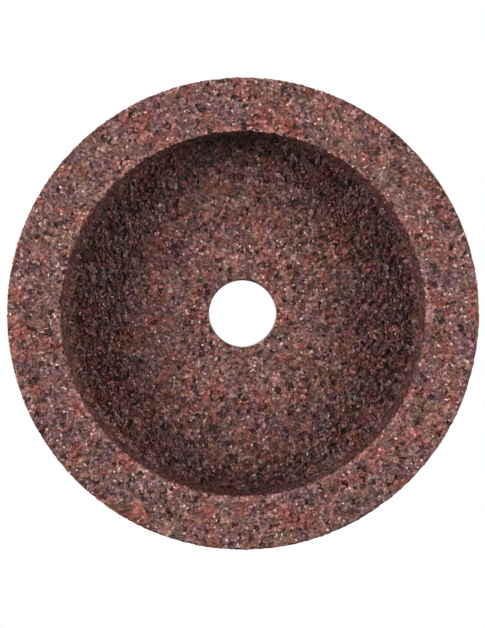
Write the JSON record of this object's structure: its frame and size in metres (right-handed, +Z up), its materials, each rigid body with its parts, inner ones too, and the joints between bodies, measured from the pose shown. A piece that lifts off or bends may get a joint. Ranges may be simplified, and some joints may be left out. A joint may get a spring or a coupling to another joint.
{
  "type": "recessed cup grinding wheel",
  "caption": "Straight cup wheel of coarse red-brown bonded abrasive, deep round recess in one face, plain bore, layered reinforced back.",
  "frame": {"origin": "middle of the bore: on the wheel's axis, half way between the back seat and the recess floor", "axes": "+Y along the bore towards the back seat, so the recess and the working face look towards -Y; +Z up"},
  "size_m": [0.15, 0.04, 0.15],
  "materials": {
    "abrasive": "matte",
    "glass_mesh": "matte",
    "label_paper": "matte",
    "ring_steel": "satin",
    "wire_steel": "satin"
  },
  "bodies": {
    "root": {"rim_face": "abrasive", "rim_middle": "abrasive", "rim_root": "abrasive", "floor_layer": "abrasive", "web_layer": "abrasive", "back_layer": "abrasive", "floor_mesh": "glass_mesh", "middle_mesh": "glass_mesh", "hub_mesh": "glass_mesh", "back_mesh": "glass_mesh", "back_label": "label_paper", "bore_ring": "ring_steel", "rear_hoop": "wire_steel", "front_hoop": "wire_steel"}
  },
  "joints": []
}
